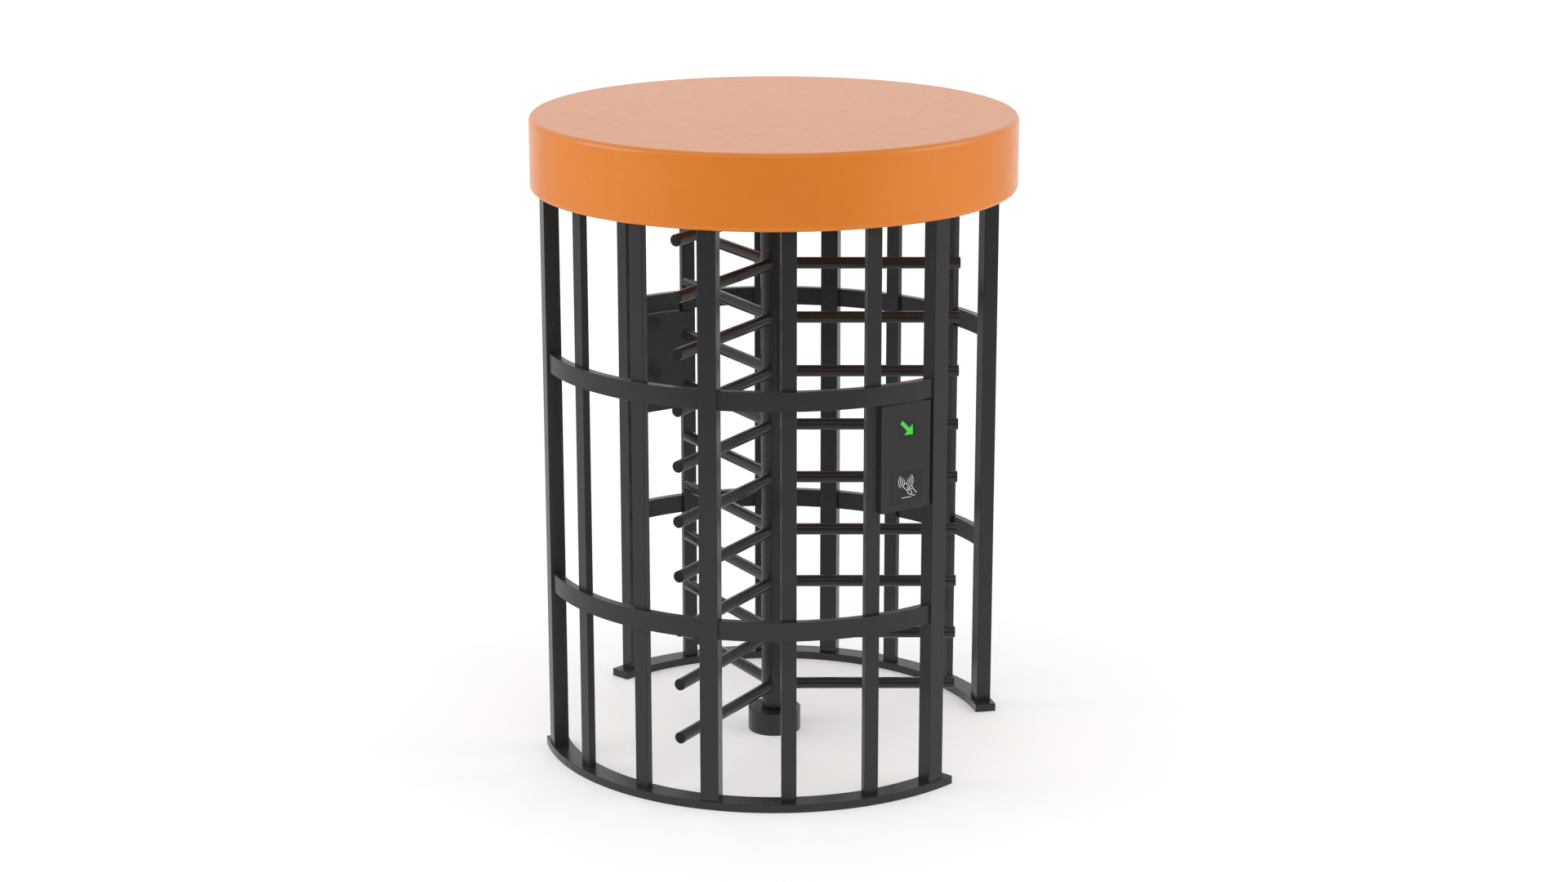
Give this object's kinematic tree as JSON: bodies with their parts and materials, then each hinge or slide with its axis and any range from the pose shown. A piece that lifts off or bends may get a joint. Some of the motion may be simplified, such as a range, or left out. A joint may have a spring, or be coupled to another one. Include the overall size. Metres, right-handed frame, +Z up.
{
  "type": "full-height turnstile",
  "caption": "Full-height security turnstile with a round canopy, curved post cages and a rotor with combs of level arms.",
  "frame": {"origin": "where the rotor axis meets the floor", "axes": "+Z up, people pass along X, the front panel is centred on -Y and the rear panel on +Y"},
  "size_m": [1.74, 1.74, 2.322],
  "materials": {
    "black_powder_coat": "satin powder coat with a fine grain",
    "orange_coat": "satin paint",
    "arm_cap": "matt moulded plastic",
    "reader_panel": "satin black panel",
    "arrow_lens": "dark lens with a lit green arrow",
    "zinc_steel": "zinc plated",
    "bright_steel": "machined",
    "cast_grey": "painted casting",
    "rubber_seal": "matt rubber",
    "bronze": "machined bronze",
    "coil_black": "moulded coil cover",
    "spring_steel": "spring wire",
    "case_grey": "smooth paint",
    "supply_aluminium": "anodised",
    "circuit_board": "solder resist"
  },
  "bodies": {
    "frame": {"front_floor_rail": "black_powder_coat", "rear_floor_rail": "black_powder_coat", "front_main_post_1": "black_powder_coat", "front_main_post_2": "black_powder_coat", "front_main_post_3": "black_powder_coat", "rear_main_post_1": "black_powder_coat", "rear_main_post_2": "black_powder_coat", "rear_main_post_3": "black_powder_coat", "front_slim_posts": "black_powder_coat", "rear_slim_posts": "black_powder_coat", "front_upper_band": "black_powder_coat", "front_lower_band": "black_powder_coat", "rear_upper_band": "black_powder_coat", "rear_lower_band": "black_powder_coat", "soffit_screws": "black_powder_coat", "floor_bearing_housing": "black_powder_coat", "front_reader_case": "black_powder_coat", "rear_reader_case": "black_powder_coat", "front_reader_back_plate": "black_powder_coat", "rear_reader_back_plate": "black_powder_coat", "canopy_shell": "orange_coat", "head_ring": "orange_coat", "soffit_panel": "orange_coat", "front_reader_face": "reader_panel", "rear_reader_face": "reader_panel", "front_arrow_lens": "arrow_lens", "rear_arrow_lens": "arrow_lens", "cross_beam_front": "zinc_steel", "cross_beam_rear": "zinc_steel", "drive_plate": "zinc_steel", "canopy_brackets": "zinc_steel", "beam_bolts": "zinc_steel", "drive_plate_bolts": "zinc_steel", "bearing_housing_bolts": "zinc_steel", "canopy_studs": "zinc_steel", "top_bearing_outer_ring": "bright_steel", "floor_bearing_cup": "bright_steel", "top_bearing_housing": "cast_grey", "gearmotor": "cast_grey", "floor_bearing_seal": "rubber_seal", "lock_guide_bush": "bronze", "lock_solenoid": "coil_black", "controller_case": "case_grey", "controller_lid": "case_grey", "power_supply": "supply_aluminium", "reader_boards": "circuit_board"},
    "rotor": {"column_tube": "black_powder_coat", "column_foot": "black_powder_coat", "drive_shaft": "bright_steel", "wing_a_arms": "black_powder_coat", "wing_b_arms": "black_powder_coat", "wing_c_arms": "black_powder_coat", "arm_end_caps": "arm_cap", "lock_wheel": "bright_steel", "drive_gear": "bright_steel", "top_bearing_inner_ring": "bright_steel", "floor_bearing_cone": "bright_steel"},
    "pinion": {"drive_pinion": "bright_steel"},
    "lock_pin": {"lock_bolt": "bright_steel", "lock_spring": "spring_steel"}
  },
  "joints": [
    {"name": "rotor_turn", "type": "hinge", "parent": "frame", "child": "rotor", "pos_m": [0, 0, 0], "axis": [0, 0, 1], "continuous": true},
    {"name": "pinion_turn", "type": "hinge", "parent": "frame", "child": "pinion", "pos_m": [0.18, 0, 2.25], "axis": [0, 0, 1], "continuous": true},
    {"name": "lock_pin_slide", "type": "slide", "parent": "frame", "child": "lock_pin", "axis": [0, 0, 1], "range_m": [0, 0.012], "deforming": ["lock_spring"]}
  ],
  "couplings": [
    {"joint": "pinion_turn", "follows": "rotor_turn", "ratio": -4}
  ]
}
